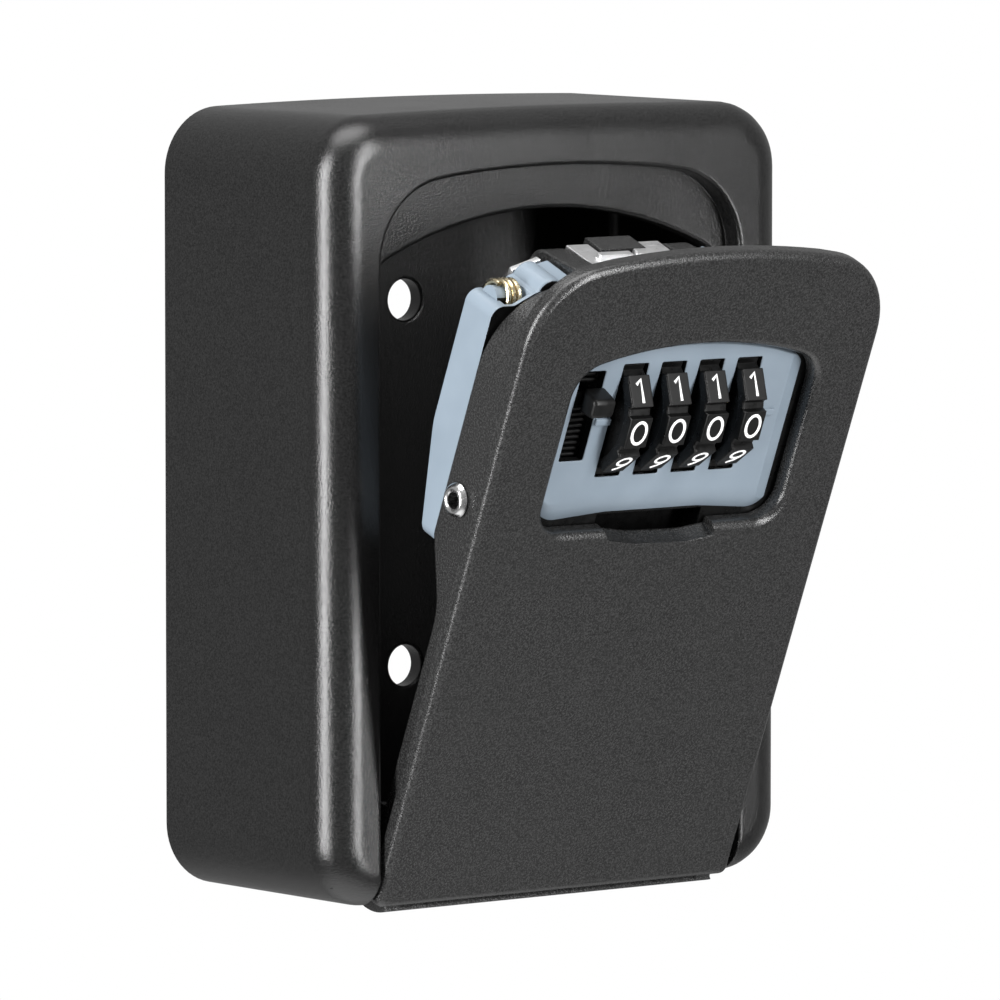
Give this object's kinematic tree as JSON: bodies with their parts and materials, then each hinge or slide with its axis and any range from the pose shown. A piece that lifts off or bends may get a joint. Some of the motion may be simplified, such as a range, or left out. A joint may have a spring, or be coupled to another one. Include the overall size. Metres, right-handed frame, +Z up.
{
  "type": "key lock box",
  "caption": "Wall-mounted key lock box: a cast case whose door hinges forward at its foot and carries a combination lock with numbered dials and a sprung latch slider.",
  "frame": {"origin": "centre of the flat rear face of the case, where it meets the wall", "axes": "+X to the right seen from the front, +Y back into the wall, +Z up; the door faces -Y"},
  "size_m": [0.089, 0.0809, 0.1212],
  "materials": {
    "case_coat": "fine crinkle powder coat over a die casting",
    "door_coat": "fine crinkle powder coat over a die casting",
    "cover_coat": "fine crinkle powder coat over a die casting",
    "housing": "satin blue-grey moulding",
    "latch_steel": "bright zinc-plated pressing",
    "slider_plastic": "black moulding with ribs",
    "comb_steel": "plain pressing",
    "lever_plastic": "black moulding",
    "hook_wire": "bright wire",
    "shaft_steel": "ground rod",
    "leaf_steel": "spring strip",
    "screw_steel": "dark plated screws",
    "pin_steel": "ground pins",
    "rivet_chrome": "polished hollow rivets",
    "spring_brass": "bright drawn wire, pale brass",
    "bracket_steel": "bright zinc-plated pressing",
    "cam_brass": "turned brass",
    "dial_plastic": "black wheels with white numerals"
  },
  "bodies": {
    "case": {"case_shell": "case_coat", "hinge_pin_left": "pin_steel", "hinge_pin_right": "pin_steel"},
    "door": {"door_panel": "door_coat", "lock_body": "housing", "lock_cover": "cover_coat", "cover_screw_1": "screw_steel", "cover_screw_2": "screw_steel", "cover_screw_3": "screw_steel", "cover_screw_4": "screw_steel", "key_hook": "hook_wire", "housing_rivet_left": "rivet_chrome", "housing_rivet_right": "rivet_chrome", "arm_rivet_left": "rivet_chrome", "arm_rivet_right": "rivet_chrome", "torsion_spring_left": "spring_brass", "torsion_spring_right": "spring_brass", "spring_bracket_left": "bracket_steel", "spring_bracket_right": "bracket_steel", "dial_shaft": "shaft_steel", "detent_spring": "leaf_steel"},
    "latch": {"latch_plate": "latch_steel", "slider_button": "slider_plastic"},
    "fence": {"fence_comb": "comb_steel"},
    "code_slide": {"code_lever": "lever_plastic"},
    "dial_body_1": {"dial_1": "dial_plastic", "dial_cam_1": "cam_brass"},
    "dial_body_2": {"dial_2": "dial_plastic", "dial_cam_2": "cam_brass"},
    "dial_body_3": {"dial_3": "dial_plastic", "dial_cam_3": "cam_brass"},
    "dial_body_4": {"dial_4": "dial_plastic", "dial_cam_4": "cam_brass"}
  },
  "joints": [
    {"name": "door_hinge", "type": "hinge", "parent": "case", "child": "door", "pos_m": [0, -0.03655, -0.05285], "axis": [1, 0, 0], "range_deg": [-22.6, 67.4]},
    {"name": "dial_1_turn", "type": "hinge", "parent": "door", "child": "dial_body_1", "pos_m": [-0.01033, -0.06332, 0.01654], "axis": [1, 0, 0], "continuous": true},
    {"name": "dial_2_turn", "type": "hinge", "parent": "door", "child": "dial_body_2", "pos_m": [-0.00298, -0.06332, 0.01654], "axis": [1, 0, 0], "continuous": true},
    {"name": "dial_3_turn", "type": "hinge", "parent": "door", "child": "dial_body_3", "pos_m": [0.00438, -0.06332, 0.01654], "axis": [1, 0, 0], "continuous": true},
    {"name": "dial_4_turn", "type": "hinge", "parent": "door", "child": "dial_body_4", "pos_m": [0.01172, -0.06332, 0.01654], "axis": [1, 0, 0], "continuous": true},
    {"name": "latch_slide", "type": "slide", "parent": "door", "child": "latch", "axis": [0, 0.3843, -0.9232], "range_m": [0, 0.0045], "stiffness_N_per_m": 800, "springref_m": -0.002},
    {"name": "fence_slide", "type": "slide", "parent": "door", "child": "fence", "axis": [0, -0.9232, -0.3843], "range_m": [0, 0.002]},
    {"name": "code_lever_slide", "type": "slide", "parent": "door", "child": "code_slide", "axis": [1, 0, 0], "range_m": [0, 0.004]}
  ],
  "couplings": [
    {"joint": "fence_slide", "follows": "latch_slide", "ratio": 0.4444}
  ]
}
